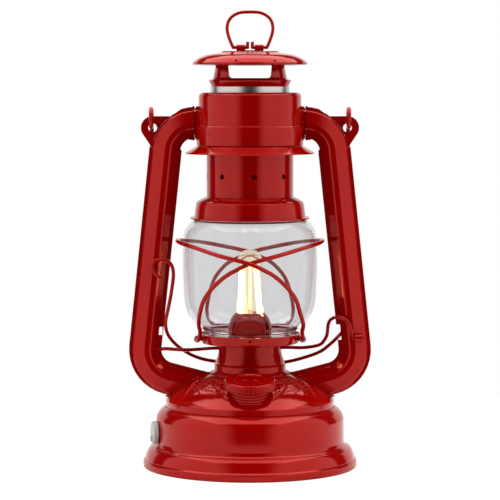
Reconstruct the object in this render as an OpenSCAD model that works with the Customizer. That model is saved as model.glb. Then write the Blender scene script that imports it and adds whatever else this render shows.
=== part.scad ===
// Hurricane lantern in the classic oil-lamp form, lit by a filament LED bulb.
// Origin at the centre of the base's underside, +Z up, the filler cap faces -Y.

/* [Tank] */
// Radius of the rolled rim that the lantern stands on
rim_r = 65.4; // [63:0.1:68]
// Height of the rolled rim
rim_h = 5; // [4:0.1:6]
// Radius of the drum wall
drum_r = 57.6; // [55:0.1:60]
// Height from the floor to the start of the drum wall
flare_h = 16.4; // [14:0.1:17]
// Height of the straight drum wall
drum_h = 13.2; // [13:0.1:20]
// Height of the rounded shoulder above the drum wall
shoulder_h = 7.7; // [6:0.1:10]
// Radius of the dome's upright edge
step_r = 51.5; // [49:0.1:54]
// Height of the dome's upright edge
step_h = 4.2; // [3:0.1:6]
// Radius of the flat land on top of the dome
dome_top_r = 25.9; // [25:0.1:28]
// Rise of the dome above its upright edge
dome_h = 15.4; // [12:0.1:19]
// Thickness of all pressed sheet metal
sheet_t = 0.9; // [0.6:0.05:1.1]

/* [Burner] */
// Height of the collar between the tank and the globe plate
neck_h = 18.5; // [16:0.1:22]
// Radius of the collar's straight upper part
neck_r = 19.1; // [17:0.1:20]
// Radius of the collar's bulge
neck_bulge_r = 21.8; // [20.5:0.1:23]
// Outer radius of the burner cone at its foot
cone_r = 14.2; // [13.6:0.1:14.6]
// Height of the burner cone
cone_h = 14; // [12:0.1:16]
// Radius of the glass bulb
bulb_r = 8.05; // [7:0.05:9]
// Height of the bulb's tip above the collar's top
bulb_h = 57.4; // [50:0.1:62]
// Distance from the bulb's axis to each filament's top end
filament_top_x = 3.3; // [2.5:0.1:4]
// Distance from the bulb's axis to each filament's bottom end
filament_foot_x = 5.0; // [3.5:0.1:5.5]
// Radius of one filament
filament_r = 0.9; // [0.6:0.05:1.2]

/* [Globe] */
// Radius of the globe plate's bottom
plate_r = 29.8; // [28:0.1:30.2]
// Radius of the globe plate's rim
plate_rim_r = 30.9; // [30.4:0.1:31.6]
// Height of the globe plate
plate_h = 5.7; // [5:0.1:8]
// Largest radius of the glass globe
globe_r = 41.1; // [39:0.1:42]
// Height of the glass globe
globe_h = 77; // [72:0.1:82]
// Radius of the globe's foot and neck
globe_foot_r = 27.5; // [26:0.1:28]
// Thickness of the glass
glass_t = 1.8; // [1.2:0.1:2.4]
// Radius of the guard's wire
guard_wire_r = 1.32; // [0.9:0.01:1.4]
// How far the lever lifts the globe
globe_lift = 5; // [3:0.1:5]

/* [Hood] */
// Radius of the bell's wall
bell_r = 33.9; // [32.5:0.1:35]
// Height of the bell
bell_h = 12.9; // [11:0.1:16]
// How far the globe reaches into the bell
globe_reach = 5.6; // [4:0.1:7]
// Radius of the chimney tube
chimney_r = 26.4; // [26:0.1:28]
// Height of chimney tube that shows between the bell and the collar
chimney_show = 30.9; // [28:0.1:36]
// Radius of each air hole in the chimney tube
air_hole_r = 1.7; // [1:0.1:2.4]
// Radius of the plain metal tube under the gallery
flue_r = 24; // [23:0.1:24.4]
// Height of plain tube that shows under the gallery
flue_show = 3.5; // [2.5:0.1:5]
// Radius of the gallery's wall
gallery_r = 22; // [20:0.1:23]
// Height of the gallery
gallery_h = 12.6; // [11:0.1:16]
// Half width of each gallery window
window_hw = 12.9; // [10:0.1:14]
// Radius of the hood cap's rim
cap_r = 34.9; // [33:0.1:37]
// Height of the hood cap
cap_h = 8.6; // [7:0.1:11]
// How far the hood lifts off the globe
hood_lift = 8; // [4:0.1:8]

/* [Collar] */
// Radius of the collar's lower band
collar_band_r = 32.5; // [31.8:0.1:34]
// Radius of the collar's upper wall
collar_r = 31.2; // [29.5:0.1:31.5]
// Height of the collar's lower band
collar_band_h = 12.1; // [10:0.1:14]
// Height of the whole collar
collar_h = 32.3; // [31:0.1:36]
// Radius of the skirt's lower edge
skirt_r = 39.5; // [37:0.1:42]
// Drop of the skirt below the collar
skirt_h = 4.2; // [3:0.1:6]

/* [Arms] */
// Half width of the side tube's body
arm_hw = 7.9; // [7:0.1:8.6]
// Half depth of the side tube's body
arm_hd = 7; // [6:0.1:8]
// Width of the seam that stands out on each side of the tube
arm_seam = 2; // [1:0.1:2.5]
// Outward lean of the straight tube in degrees
arm_lean = 5.98; // [4:0.01:7]
// Slope of the tube's foot in degrees
foot_slope = 14.6; // [12:0.1:18]
// Bend radius of the tube's upper corner
arm_bend_top = 17.7; // [16:0.1:20]
// Bend radius of the tube's lower corner
arm_bend_low = 18.3; // [16:0.1:20]
// Distance from the axis to the sharp lower corner of the tube's centre line
arm_corner_x = 65.6; // [64:0.1:67]
// Radius of the hole in each bail ear
ear_hole_r = 2.65; // [2.4:0.05:3]
// Outer radius of each bail ear
ear_r = 7.1; // [6.6:0.1:7.5]

/* [Handles] */
// Radius of the bail's wire
bail_wire_r = 1.35; // [1:0.05:1.5]
// Length of the bail from its eyes to its crosspiece
bail_l = 181; // [179:0.5:185]
// Inside radius of the bail's corners, to the wire's centre
bail_corner_r = 16; // [10:0.5:24]
// Radius of the bail's eyes, to the wire's centre
bail_eye_r = 5.4; // [5:0.1:5.8]
// Radius of the lifting ring's wire
ring_wire_r = 1; // [0.8:0.05:1.2]
// Radius of the lifting ring, to the wire's centre
ring_r = 13.85; // [12:0.1:15]
// Radius of the lever's and the crank's wire
lever_wire_r = 1.1; // [0.9:0.05:1.2]

/* [Dimmer and charging] */
// Radius of the knurled dimmer cap
knob_r = 15.1; // [14:0.1:16]
// Height of the knurled dimmer cap
knob_h = 5.4; // [5:0.1:8]
// Forward tilt of the dimmer cap in degrees
knob_tilt = 9.5; // [6:0.5:12]
// Distance from the lantern's axis to the dimmer cap's centre
knob_y = 40.6; // [39:0.1:41]
// Radius of the threaded neck under the cap
thread_r = 11.3; // [10.5:0.1:11.8]
// Number of grooves in the cap's knurl
knurl_count = 60; // [40:1:72]
// Radius of the charging port's cover
port_r = 6.95; // [6.4:0.05:7.2]
// Height of the charging port's centre above the floor
port_z = 22.2; // [21:0.1:22.4]
// Radius of one battery cell
cell_r = 9.2; // [8.5:0.1:9.5]
// Length of one battery cell
cell_l = 65; // [55:1:68]

/* [Hidden] */
$fn = 96;
fit_gap = 0.1;       // gap between pieces that are fastened to each other
run_gap = 0.08;      // radial clearance of a pin in its bore
free_gap = 0.4;      // gap between pieces that move past each other
lap = 0.05;          // overlap of the pieces of one solid
port_turn = 12;      // degrees from the left side towards the front

red = [0.70, 0.02, 0.03];
steel = [0.72, 0.73, 0.74];

// Heights, stacked from the floor up
shoulder_z = flare_h + drum_h;
step_z = shoulder_z + shoulder_h;
dome_z = step_z + step_h;
tank_top = dome_z + dome_h;
neck_top = tank_top + neck_h;
plate_z = neck_top + free_gap;
plate_top = plate_z + plate_h;
seat_z = plate_top - 0.7;
globe_z = seat_z + fit_gap;
globe_top = globe_z + globe_h;
bell_z = globe_top - globe_reach;
bell_top = bell_z + bell_h;
collar_z = bell_top + chimney_show;
collar_top = collar_z + collar_h;
flue_top = collar_top + flue_show;
gallery_top = flue_top + gallery_h;
cap_top = gallery_top + cap_h;
chimney_top = collar_top - sheet_t - hood_lift - globe_lift - 8;
arm_top_z = collar_z + 13.5;

// ---- helpers ----

function unit(v) = v / norm(v);
function side_of(a, b) = let (d = unit(b - a)) [-d.y, d.x];

// Offset direction at point i of a profile, lengthened at corners to keep the thickness
function offset_dir(pts, i) =
    let (
        last = len(pts) - 1,
        before = side_of(pts[max(i - 1, 0)], pts[max(i, 1)]),
        after = side_of(pts[min(i, last - 1)], pts[min(i + 1, last)]),
        mid = unit(before + after)
    )
    mid / max(mid * after, 0.4);

// Closed outline of a sheet of thickness t along a profile, on the profile's left side
function sheet_outline(pts, t) =
    concat(pts, [for (i = [len(pts) - 1 : -1 : 0]) pts[i] + t * offset_dir(pts, i)]);

function arc(c, r, from, to, n = 6) =
    [for (i = [0 : n]) let (a = from + (to - from) * i / n) c + r * [cos(a), sin(a)]];

function curve(a, c, b, n = 6) =
    [for (i = [0 : n]) let (t = i / n) (1 - t) ^ 2 * a + 2 * t * (1 - t) * c + t ^ 2 * b];

module spun_sheet(pts, t = sheet_t) rotate_extrude() polygon(sheet_outline(pts, t));

module disc(r, h, z = 0) translate([0, 0, z]) cylinder(r = r, h = h);

module ring(outer, inner, h, z = 0)
    translate([0, 0, z]) rotate_extrude() translate([inner, 0]) square([outer - inner, h]);

// Round bar between two points
module bar(p, q, r) {
    d = q - p;
    translate(p) rotate([0, acos(d.z / norm(d)), atan2(d.y, d.x)])
        cylinder(r = r, h = norm(d), $fn = 32);
}

// Part of a wire loop in the X-Z plane, angles counted from +X towards +Z
module loop(r, wire_r, from, to)
    rotate([90, 0, 0]) rotate([0, 0, from]) rotate_extrude(angle = to - from)
        translate([r, 0]) circle(r = wire_r, $fn = 32);

function blend_point(p0, p1, p2, p3, t) =
    0.5 * (2 * p1 + (p2 - p0) * t + (2 * p0 - 5 * p1 + 4 * p2 - p3) * t ^ 2
        + (3 * p1 - p0 - 3 * p2 + p3) * t ^ 3);

function smooth_path(p, n) = [
    for (i = [0 : len(p) - 2]) for (k = [0 : n - 1])
        blend_point(p[max(i - 1, 0)], p[i], p[i + 1], p[min(i + 2, len(p) - 1)], k / n),
    p[len(p) - 1]
];

// Bent wire along a path; aside(point) is a direction that the path never follows
module bent_wire(path, r, radial = false, sides = 10) {
    last = len(path) - 1;
    rings = [
        for (i = [0 : last])
            let (
                along = unit(path[min(i + 1, last)] - path[max(i - 1, 0)]),
                aside = radial ? unit([path[i].x, path[i].y, 0]) : [0, 1, 0],
                u = unit(cross(along, aside)),
                v = cross(along, u)
            )
            for (k = [0 : sides - 1])
                path[i] + r * (cos(360 * k / sides) * u + sin(360 * k / sides) * v)
    ];
    walls = [
        for (i = [0 : last - 1]) for (k = [0 : sides - 1])
            let (a = i * sides + k, b = i * sides + (k + 1) % sides)
            [a, a + sides, b + sides, b]
    ];
    ends = [[for (k = [0 : sides - 1]) k], [for (k = [sides - 1 : -1 : 0]) last * sides + k]];
    polyhedron(points = rings, faces = concat(walls, ends));
}

// ---- tank ----

function base_profile() = concat(
    [[rim_r - 4.8, rim_h / 2], [rim_r - 4.8, 0]],
    arc([rim_r - 1.2, 1.2], 1.2, -90, 0, 3),
    arc([rim_r - 1.2, rim_h - 1.2], 1.2, 0, 60, 3),
    [[rim_r - 1.15, rim_h + 0.35]],
    curve([rim_r - 1.15, rim_h + 0.9], [drum_r + 4.9, flare_h * 0.75], [drum_r + 2, flare_h * 0.8], 8),
    curve([drum_r + 1.6, flare_h * 0.82], [drum_r + 0.2, flare_h * 0.86], [drum_r, flare_h]),
    curve([drum_r, shoulder_z], [drum_r - 1, shoulder_z + shoulder_h * 0.64], [step_r, step_z]),
    [[step_r - 4, step_z]]
);

module port_place(r) rotate([0, 0, 180 + port_turn]) translate([r, 0, port_z]) children();

module base_shell() {
    color(red) difference() {
        spun_sheet(base_profile());
        port_place(drum_r - 4) rotate([0, 90, 0]) cylinder(r = port_hole_r, h = 8);
    }
}
port_hole_r = port_r - 2.2;

plate_floor_z = rim_h / 2 + fit_gap;
cover_plate_t = 1;
screw_ring_r = 50;

module screw_places()
    for (a = [45 : 90 : 315]) rotate([0, 0, a]) translate([screw_ring_r, 0, 0]) children();

module bottom_plate() {
    color(red) difference() {
        disc(rim_r - 1.8, cover_plate_t, plate_floor_z);
        screw_places() disc(1.7, 3, plate_floor_z - 1);
    }
}

module bottom_screws() {
    color(steel) screw_places() {
        disc(2.8, 1.4, plate_floor_z - 1.5);
        disc(1.5, 8, plate_floor_z - 0.11);
    }
}

function dome_profile() = concat(
    [[step_r, step_z + fit_gap], [step_r, dome_z - 0.6], [step_r - 0.7, dome_z + 0.2]],
    curve([step_r - 1.5, dome_z + 1.1], [(step_r + dome_top_r) / 2 + 0.8, tank_top - 5],
        [dome_top_r, tank_top - 0.2], 8),
    [[dome_top_r - 0.8, tank_top], [8, tank_top]]
);

// Everything under the dome's outer surface, grown by g
module under_dome(g = 0)
    rotate_extrude() polygon(concat(
        [[0, step_z]], [for (p = dome_profile()) p + [0, g]], [[0, tank_top + g]]));

// The dome has a pressed recess that the back of the filler cap turns in
module tank_dome() {
    recess_r = knob_r + 0.6;
    recess_z = -knob_h - 0.5;
    color(red) difference() {
        union() {
            spun_sheet(dome_profile());
            intersection() {
                under_dome();
                on_knob_axis() disc(recess_r + sheet_t, 12, recess_z - sheet_t);
            }
        }
        on_knob_axis() disc(recess_r, 12, recess_z);
        on_knob_axis() disc(thread_bore_r, 30, -30);
    }
}

// ---- dimmer and charging ----

thread_bore_r = thread_r - 2.2;
knob_top_z = tank_top + 1.3;
thread_gap = 0.5;
shaft_r = 3;
module on_knob_axis() translate([0, -knob_y, knob_top_z]) rotate([knob_tilt, 0, 0]) children();

module filler_neck() {
    top = -knob_h - thread_gap;
    color(red) difference() {
        on_knob_axis() union() {
            ring(thread_r - 0.8, thread_bore_r, 12, top - 12);
            for (i = [0 : 4]) translate([0, 0, top - 1.2 - 1.75 * i]) rotate_extrude()
                translate([thread_r - 0.8, 0])
                    polygon([[-0.1, -0.8], [0.8, -0.25], [0.8, 0.25], [-0.1, 0.8]]);
        }
        under_dome(fit_gap);
    }
}

module dimmer_switch() {
    color("dimgray") on_knob_axis() difference() {
        union() {
            disc(thread_bore_r - fit_gap, 5, -knob_h - 9);
            disc(4.6, 4, -knob_h - 4.05);
        }
        disc(shaft_r + run_gap, 20, -knob_h - 7);
    }
}

module dimmer_shaft() {
    color(steel) on_knob_axis() disc(shaft_r, knob_h + 4, -knob_h - 6.5);
}

module filler_cap() {
    groove = 0.45;
    color(red) on_knob_axis() difference() {
        rotate_extrude() polygon(concat(
            [[0, -knob_h], [knob_r - 0.5, -knob_h], [knob_r, -knob_h + 0.5]],
            arc([knob_r - 1, -1], 1, 0, 90, 4),
            [[knob_r - 4.2, 0], [knob_r - 4.8, -0.5], [0, -0.5]]));
        for (i = [0 : knurl_count - 1]) rotate([0, 0, 360 * i / knurl_count])
            translate([knob_r, 0, -knob_h + 0.6]) rotate([0, 0, 45])
                translate([-groove, -groove, 0]) cube([2 * groove, 2 * groove, knob_h - 1.9]);
        disc(shaft_r + fit_gap, knob_h - 1.5, -knob_h - 1);
        ring(thread_r + 1, 5, 1.4, -knob_h - 0.1);
    }
}

cover_t = 3;
cover_gap = 0.35;
module port_cover() {
    color("dimgray") port_place(drum_r + cover_gap) rotate([0, 90, 0]) union() {
        rotate_extrude() polygon(concat([[0, 0], [port_r, 0], [port_r, cover_t - 1]],
            arc([port_r - 1, cover_t - 1], 1, 0, 90, 4), [[0, cover_t]]));
        disc(port_hole_r - free_gap, 1.7, -1.6);
        translate([2.2, -1.6, cover_t - 0.3]) cube([3.2, 3.2, 1.2]);
    }
}

charge_depth = 7.2;
module charge_port() {
    color(steel) port_place(drum_r - sheet_t - fit_gap - 1.6 - charge_depth) difference() {
        translate([0, -4.47, -1.63]) cube([charge_depth, 8.94, 3.26]);
        translate([1, -4.17, -1.33]) cube([charge_depth, 8.34, 2.66]);
    }
}

tray_floor_z = plate_floor_z + cover_plate_t + fit_gap;
tray_t = 1.5;
board_t = 1.6;
cell_z = tray_floor_z + tray_t + cell_r + fit_gap;
board_z = cell_z + cell_r + 1;
charge_board_r = drum_r - sheet_t - 11;
charge_board_z = port_z - 1.63 - fit_gap - 1.2;

module battery_tray() {
    wall_x = cell_l / 2 + 1;
    color("black") {
        translate([-wall_x - 2, -2 * cell_r - 3, tray_floor_z])
            cube([2 * wall_x + 4, 4 * cell_r + 6, tray_t]);
        for (s = [-1, 1]) translate([s * (wall_x + 0.9) - 1, -2 * cell_r - 2.8, tray_floor_z + 0.4])
            cube([2, 4 * cell_r + 5.6, board_z - tray_floor_z - 0.4 - fit_gap]);
        rotate([0, 0, 180 + port_turn]) translate([charge_board_r - 3.5, -5, tray_floor_z + 0.2])
            cube([7, 10, charge_board_z - tray_floor_z - 0.2 - fit_gap]);
        rotate([0, 0, 180 + port_turn]) translate([charge_board_r - 16, -4.4, tray_floor_z + 0.3])
            cube([16, 8.8, tray_t - 0.6]);
    }
}

module battery_cells() {
    color("royalblue") for (s = [-1, 1])
        translate([-cell_l / 2, s * (cell_r + 0.4), cell_z]) rotate([0, 90, 0])
            cylinder(r = cell_r, h = cell_l);
}

module driver_board() {
    color("darkgreen") {
        translate([-cell_l / 2 - 2.5, -14, board_z]) cube([cell_l + 5, 28, board_t]);
        translate([-9, -12.5, board_z + board_t - lap]) cube([12, 10, 2.5]);
        translate([10, -6, board_z + board_t - lap]) cube([7, 7, 1.6]);
    }
}

// The charging board reaches from the tray's end wall to the socket
module charge_board() {
    half_w = 8;
    inner = (cell_l / 2 + 3.4 + half_w * sin(port_turn)) / cos(port_turn);
    color("darkgreen") rotate([0, 0, 180 + port_turn])
        translate([inner, -half_w, charge_board_z]) cube([charge_board_r + 9 - inner, 2 * half_w, 1.2]);
}

// ---- burner ----

burner_tube_r = cone_r - 0.5;

module burner_neck() {
    foot_r = dome_top_r - 1.3;
    color(red) spun_sheet(concat(
        [[foot_r, tank_top + fit_gap], [foot_r, tank_top + 0.4], [foot_r - 0.6, tank_top + 1.1]],
        curve([neck_bulge_r + 0.6, tank_top + 1.7], [neck_bulge_r, tank_top + 2],
            [neck_bulge_r, tank_top + 3]),
        [[neck_bulge_r, tank_top + 5.4], [neck_bulge_r - 0.9, tank_top + 6.6]],
        curve([neck_bulge_r - 0.7, tank_top + 7.4], [neck_r, tank_top + 12], [neck_r, tank_top + 15]),
        [[neck_r, neck_top - 0.6], [neck_r - 0.6, neck_top], [burner_tube_r, neck_top],
            [burner_tube_r, plate_top - 1.7]]), 0.8);
}

module burner_cone() {
    foot_z = plate_top - 1.1;
    color(red) difference() {
        spun_sheet(concat(
            [[cone_r, foot_z], [cone_r - 0.8, foot_z + 0.9], [cone_r - 1.1, foot_z + 1.4],
                [cone_r - 0.8, foot_z + 2.6]],
            curve([cone_r - 0.9, foot_z + 4], [cone_r - 1.6, foot_z + cone_h * 0.74],
                [bulb_r + 0.6, foot_z + cone_h - 0.4], 8)), 0.7);
        rotate([0, 0, -36]) translate([-20, -1.5, foot_z + 3.4]) cube([40, 3, 20]);
    }
}

holder_r = 8.8;
bulb_z = plate_top + 4.5;
bulb_tip = neck_top + bulb_h;

module bulb_holder() {
    color("white") difference() {
        union() {
            disc(burner_tube_r - 0.8 - fit_gap, 3, neck_top - 4);
            disc(holder_r, bulb_z - neck_top + 1 - fit_gap, neck_top - 1);
        }
        disc(2, 30, neck_top - 6);
    }
}

module bulb_envelope() {
    color([0.9, 0.92, 0.95, 0.4]) spun_sheet(concat(
        [[bulb_r - 2.5, bulb_z], [bulb_r, bulb_z + 1.5]],
        arc([0, bulb_tip - bulb_r], bulb_r, 0, 86, 8)), 0.7);
}

stem_top = bulb_tip - 9;
stem_r = 1.1;
module bulb_stem() {
    color([0.9, 0.92, 0.95, 0.6]) rotate_extrude() polygon(concat(
        [[0, bulb_z + 0.2], [4.6, bulb_z + 1.8]],
        curve([3.6, bulb_z + 3], [1.2, bulb_z + 5], [stem_r, bulb_z + 12]),
        [[stem_r, stem_top], [0, stem_top]]));
}

filament_top = bulb_tip - 12;
filament_foot = plate_top + 9.5;
module bulb_filaments() {
    color([1, 0.85, 0.5]) for (s = [-1, 1])
        bar([s * filament_foot_x, 0, filament_foot], [s * filament_top_x, 0, filament_top], filament_r);
}

module filament_wires() {
    wire_r = 0.25;
    color(steel) for (s = [-1, 1]) {
        bar([s * (filament_top_x + 0.1), 0, filament_top + fit_gap],
            [s * (stem_r + wire_r + fit_gap), 0, stem_top - 0.6], wire_r);
        bar([s * (filament_foot_x + 0.1), 0, filament_foot - fit_gap], [s * 3.9, 0, bulb_z + 3.4], wire_r);
    }
}

module bulb_lead() {
    color("firebrick") for (s = [-1, 1])
        bar([s * 0.95, 0, board_z + board_t + fit_gap], [s * 0.95, 0, bulb_z - 1], 0.75);
}

// ---- globe ----

plate_hole_r = cone_r + free_gap;
plate_t = 0.7;
lug_r = 2.1;
lug_x = plate_rim_r + 1.2;
lug_z = plate_z + 2.2;
lug_hl = 3.2;

module globe_plate() {
    color(red) difference() {
        union() {
            spun_sheet([[neck_r + 1.2, plate_z], [plate_r - 0.6, plate_z], [plate_r, plate_z + 0.7],
                [plate_rim_r, plate_top]], plate_t);
            ring(plate_rim_r - 0.9, plate_hole_r, plate_t, seat_z - plate_t);
            for (s = [-1, 1]) translate([s * lug_x, 0, lug_z]) difference() {
                union() {
                    translate([0, -lug_hl, 0]) rotate([-90, 0, 0])
                        cylinder(r = lug_r, h = 2 * lug_hl, $fn = 48);
                    translate([s > 0 ? -3 : 0, -lug_hl + 0.2, -0.9]) cube([3, 2 * lug_hl - 0.4, 1.8]);
                }
                translate([0, -lug_hl - 1, 0]) rotate([-90, 0, 0])
                    cylinder(r = guard_wire_r + fit_gap, h = 2 * lug_hl + 2, $fn = 48);
            }
        }
        translate([0, -plate_r - 4, plate_z + 3.6]) rotate([-90, 0, 0])
            cylinder(r = 0.8, h = 8, $fn = 24);
    }
}

module globe() {
    g = globe_r;
    f = globe_foot_r;
    z = globe_z;
    color([0.9, 0.93, 0.95, 0.3]) spun_sheet(concat(
        [[f, z], [f, z + 1.6]],
        curve([f + 1.2, z + 3], [g - 1.6, z + 10], [g - 0.9, z + 22], 10),
        curve([g - 0.1, z + 36], [g + 0.2, z + 56], [g - 0.7, z + 61], 6),
        curve([g - 1.6, z + 64], [g - 5, z + 70], [g - 9.6, globe_top - 5.4], 6),
        [[g - 10.2, globe_top - 4], [g - 10.2, globe_top]]), glass_t);
}

// One half of the guard: from the left lug over the front to the right, then down behind to the
// middle of the bar at the back. Each row is azimuth from the front, distance beyond the globe, height
// above the globe plate's rim.
function guard_rows(out, wide) = [
    [-75, lug_x + 0.7 + 0.3 * wide - globe_r, -3.7], [-67.5, lug_x + 1 + wide - globe_r, -1.4],
    [-62, -6.8 + wide, 3.2], [-58, -4.6 + wide, 7.4], [-47, 0, 15],
    [-39.5, 2, 23.5], [-31, 2, 31], [-20, 2, 38], [-8, 1.8 + out, 43], [2, 1.8 + out, 46.3],
    [24, 1.8 + out, 50.4], [49, 2.2, 54.2], [71, 2.8, 56], [90, 3.3, 56.7], [106, 2.8, 56],
    [130, 2.2, 54.2],
    [154, 1.8 + out, 51], [178, 1.8 + out, 46.8], [190, 1.8 + out, 43], [201, 2, 39], [211, 2, 31.5],
    [216, 2, 24.5], [220.5, 1.6, 14.5], [221.5, 1.4, 7]
];
guard_bar_y = plate_rim_r + 2;
guard_bar_z = plate_top - 0.5;
function guard_point(row) =
    [(globe_r + row[1]) * sin(row[0]), -(globe_r + row[1]) * cos(row[0]), plate_top + row[2]];
function guard_half(out, wide) = concat(
    [[-lug_x, -lug_hl - 0.6, lug_z]],
    [for (row = guard_rows(out, wide)) guard_point(row)],
    [[-27.5, guard_bar_y - 0.6, guard_bar_z + 2.1], [-25, guard_bar_y, guard_bar_z],
        [-12, guard_bar_y, guard_bar_z]]
);
function mirrored(points) =
    [for (i = [len(points) - 1 : -1 : 0]) [-points[i].x, points[i].y, points[i].z]];

module globe_guard() {
    cross_gap = 2 * guard_wire_r + fit_gap;
    path = smooth_path(concat(guard_half(0, 0), mirrored(guard_half(cross_gap, 1.5))), 3);
    foot = [lug_x, lug_hl + 0.8, lug_z];
    whole = concat([[-foot.x, foot.y, foot.z]], path, [foot]);
    color(red) bent_wire(whole, guard_wire_r, radial = true, sides = 8);
}

// ---- hood ----

module chimney_bell() {
    color(red) spun_sheet(concat(
        [[bell_r + 2.5, bell_z + 0.3], [bell_r + 0.6, bell_z]],
        curve([bell_r, bell_z + 0.3], [bell_r - 0.8, bell_z + bell_h * 0.7],
            [bell_r - 1.6, bell_z + bell_h * 0.75]),
        curve([bell_r - 2.4, bell_top - 2.6], [bell_r - 4, bell_top - 1.6],
            [chimney_r + 0.5, bell_top - 0.2]),
        [[chimney_r + 0.1, bell_top]]));
}

module chimney_tube() {
    hole_z = bell_top + chimney_show * 0.41;
    color(red) difference() {
        spun_sheet([[chimney_r, bell_top + fit_gap], [chimney_r, chimney_top],
            [flue_r + fit_gap, chimney_top]]);
        for (a = [-84.6 : 45 : 230.4]) rotate([0, 0, a]) translate([chimney_r - 4, 0, hole_z])
            rotate([0, 90, 0]) cylinder(r = air_hole_r, h = 8, $fn = 32);
    }
}

module flue_tube() {
    sunk = 14;
    color(steel) spun_sheet([[flue_r, chimney_top - sunk], [flue_r, flue_top]], 0.8);
}

module hood_gallery() {
    lip_z = flue_top + 3.2;
    corner_r = 2;
    color(red) difference() {
        spun_sheet(concat(
            [[flue_r - 0.6, flue_top + fit_gap], [gallery_r + 3.2, lip_z + 0.5]],
            curve([gallery_r + 1.8, lip_z + 1.1], [gallery_r + 0.5, lip_z + 1.3],
                [gallery_r + 0.2, lip_z + 2.6]),
            [[gallery_r - 1.1, gallery_top],
                [gallery_r - 1.5, cap_top - 2.6]]));
        translate([0, 40, 0]) rotate([90, 0, 0]) linear_extrude(height = 80) polygon(concat(
            arc([corner_r - window_hw + 0.1, lip_z + 1.9 + corner_r], corner_r, 180, 270, 5),
            arc([window_hw - 0.1 - corner_r, lip_z + 1.9 + corner_r], corner_r, 270, 360, 5),
            [[window_hw + 0.4, gallery_top], [window_hw + 0.4, cap_top],
                [-window_hw - 0.4, cap_top], [-window_hw - 0.4, gallery_top]]));
    }
}

module hood_cap() {
    lip_r = 1.1;
    color(red) difference() {
        spun_sheet(concat(
            [[cap_r - 4.6, gallery_top + 0.2]],
            arc([cap_r - lip_r, gallery_top + 1.5], lip_r, -110, 20, 8),
            curve([cap_r - 2.3, gallery_top + 3.8], [cap_r - 5.2, cap_top - 3],
                [gallery_r + 4.5, cap_top - 2.1], 6),
            curve([gallery_r - 4, cap_top - 0.6], [gallery_r - 5.6, cap_top - 0.2],
                [gallery_r - 9.1, cap_top]),
            [[1.5, cap_top]]));
        for (a = [16 : 40 : 336]) rotate([0, 0, a])
            translate([cap_r - lip_r, 0, gallery_top + 2.9]) rotate([0, 45, 0])
                cylinder(r = 0.85, h = 4.6, center = true, $fn = 24);
    }
}

clip_t = 0.6;
clip_r = 1.75;
ring_z = cap_top + fit_gap + clip_t + clip_r - lap;

module ring_clip() {
    color(red) difference() {
        union() {
            translate([-8.2, -2.5, cap_top + fit_gap]) cube([16.4, 5, clip_t]);
            for (x = [-8.2, 2.8]) translate([x, 0, ring_z]) rotate([0, 90, 0])
                cylinder(r = clip_r, h = 5.4, $fn = 48);
        }
        translate([-12, 0, ring_z]) rotate([0, 90, 0])
            cylinder(r = ring_wire_r + run_gap, h = 24, $fn = 48);
    }
}

// Right half of the lifting ring: distance from the middle, height above its hinge
function ring_side() = (ring_r / 13.85) * [
    [10.2, 0], [11.3, 2.3], [12.6, 5.6], [13.6, 9], [13.85, 12.2], [13.1, 15.6], [11, 18.5], [7.6, 20.5],
    [3.8, 21.3]
];

module hood_ring() {
    half = [for (p = ring_side()) [p.x, 0, ring_z + p.y]];
    knee = 0.05;
    end_x = 1.45;
    color(red) {
        bent_wire(smooth_path(concat(half, mirrored(half)), 3), ring_wire_r, sides = 10);
        for (s = [-1, 1]) {
            translate([s * half[0].x, 0, ring_z]) sphere(r = ring_wire_r + knee, $fn = 32);
            bar([s * half[0].x, 0, ring_z], [s * end_x, 0, ring_z], ring_wire_r);
            translate([s * end_x, 0, ring_z]) sphere(r = ring_wire_r + knee, $fn = 32);
            bar([s * end_x, 0, ring_z], [s * end_x, 0, ring_z + 3.4], ring_wire_r);
        }
    }
}

// ---- collar ----

// Stretch of the side tube's section from radius r to radius to, on each side
module tube_stub(grow, seam, inside, r, to)
    for (s = [0, 1]) mirror([s, 0, 0]) rotate([0, -90, 0]) translate([arm_top_z, 0, r])
        linear_extrude(height = to - r) polygon(tube_ring(grow, seam, inside));

module collar() {
    round_r = 2.8;
    color(red) difference() {
        union() {
            spun_sheet(concat(
                [[chimney_r + free_gap + 0.6, collar_z], [collar_band_r - 0.5, collar_z],
                    [collar_band_r, collar_z + 0.5]],
                [[collar_band_r, collar_z + collar_band_h - 0.4],
                    [collar_band_r - 0.5, collar_z + collar_band_h]],
                [[collar_r, collar_z + collar_band_h + 0.5]],
                arc([collar_r - round_r, collar_top - round_r], round_r, 0, 90, 5),
                [[flue_r + free_gap + 0.3, collar_top]]));
            difference() {
                union() {
                    tube_stub(0.4, arm_seam, false, collar_r - 1.2, stub_x - 0.8);
                    tube_stub(-0.3, arm_seam - 0.2, false, collar_r - 1.3, stub_x - fit_gap);
                }
                cylinder(r = collar_r - 0.5, h = 400);
            }
        }
        tube_stub(0, 0, true, collar_r - 4, stub_x + 1);
    }
}

module deflector_skirt() {
    top = collar_z - fit_gap - 0.05;
    color(red) spun_sheet([
        [skirt_r, collar_z - skirt_h], [collar_band_r + 1.6, collar_z - 1.2],
        [collar_band_r, top], [chimney_r + free_gap + 0.2, top]], 0.8);
}

module hood_spring() {
    spring_r = flue_r + 1.4;
    wire_r = 0.6;
    turns = 4;
    foot = chimney_top + wire_r + fit_gap;
    rise = collar_top - sheet_t - wire_r - fit_gap - foot;
    steps = 20;
    path = [for (i = [0 : turns * steps]) let (a = 360 * i / steps)
        [spring_r * cos(a), spring_r * sin(a), foot + rise * i / (turns * steps)]];
    color(steel) bent_wire(path, wire_r, radial = true, sides = 6);
}

// ---- side tubes ----

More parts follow.
